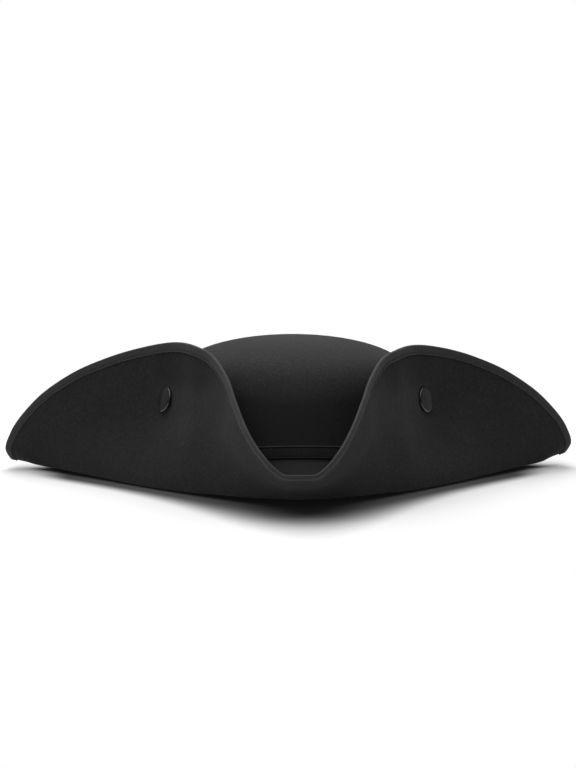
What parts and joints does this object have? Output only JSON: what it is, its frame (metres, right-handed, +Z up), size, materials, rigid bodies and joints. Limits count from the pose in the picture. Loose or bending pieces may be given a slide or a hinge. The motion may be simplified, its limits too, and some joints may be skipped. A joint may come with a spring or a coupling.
{
  "type": "tricorn hat",
  "caption": "Three-cornered felt hat with upturned brim flaps held to a round crown by domed fasteners, a ribbon band and a ribbon-bound edge.",
  "frame": {"origin": "middle of the hat's bounding box in plan, on the surface that it rests on", "axes": "+X to the wearer's left across the two side corners, -Y towards the front corner, +Z up"},
  "size_m": [0.4086, 0.3128, 0.0994],
  "materials": {
    "felt": "matte black wool felt with a short nap",
    "ribbon": "black ribbed ribbon with a low sheen",
    "cap": "black satin enamel"
  },
  "bodies": {
    "root": {"felt_body": "felt", "hat_band": "ribbon", "edge_binding": "ribbon", "snap_left": "cap", "snap_right": "cap", "snap_back": "cap"}
  },
  "joints": []
}
